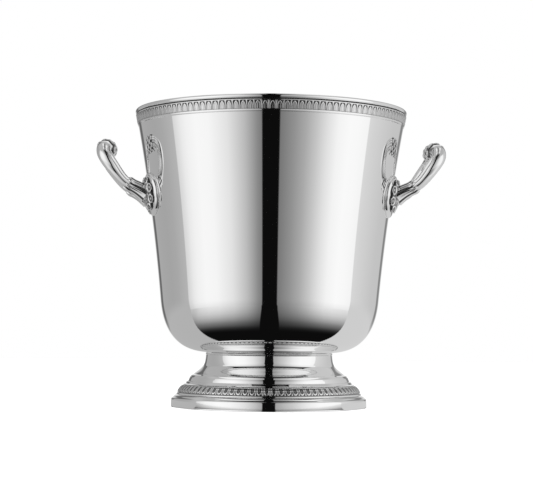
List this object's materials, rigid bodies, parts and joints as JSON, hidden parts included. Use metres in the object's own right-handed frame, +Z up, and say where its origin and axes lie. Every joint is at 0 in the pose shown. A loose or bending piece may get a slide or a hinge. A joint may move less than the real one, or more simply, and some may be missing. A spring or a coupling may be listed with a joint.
{
  "type": "champagne bucket",
  "caption": "Footed silver champagne bucket: flared bowl on a spun pedestal foot, struck leaf borders at rim and foot, loop handles on rosettes.",
  "frame": {"origin": "centre of the foot's underside, on the surface that the bucket stands on", "axes": "+Z up along the bowl's axis, +X towards one handle, -Y the front"},
  "size_m": [0.2598, 0.2036, 0.2207],
  "materials": {
    "polished_silver": "mirror polished silver plate",
    "cast_silver": "polished cast silver plate",
    "struck_silver": "bright struck relief, darkened in its recesses"
  },
  "bodies": {
    "root": {"bowl": "polished_silver", "rim_bead": "polished_silver", "rim_fillet": "polished_silver", "neck_collar": "polished_silver", "foot": "polished_silver", "foot_upper_fillet": "polished_silver", "foot_lower_fillet": "polished_silver", "base_ring": "polished_silver", "rim_frieze": "struck_silver", "foot_frieze": "struck_silver", "handle_left": "cast_silver", "grip_collar_left": "struck_silver", "leaf_socket_left_front": "struck_silver", "rosette_left_front": "struck_silver", "back_plate_left_front": "cast_silver", "leaf_socket_left_back": "struck_silver", "rosette_left_back": "struck_silver", "back_plate_left_back": "cast_silver", "handle_right": "cast_silver", "grip_collar_right": "struck_silver", "leaf_socket_right_front": "struck_silver", "rosette_right_front": "struck_silver", "back_plate_right_front": "cast_silver", "leaf_socket_right_back": "struck_silver", "rosette_right_back": "struck_silver", "back_plate_right_back": "cast_silver"}
  },
  "joints": []
}
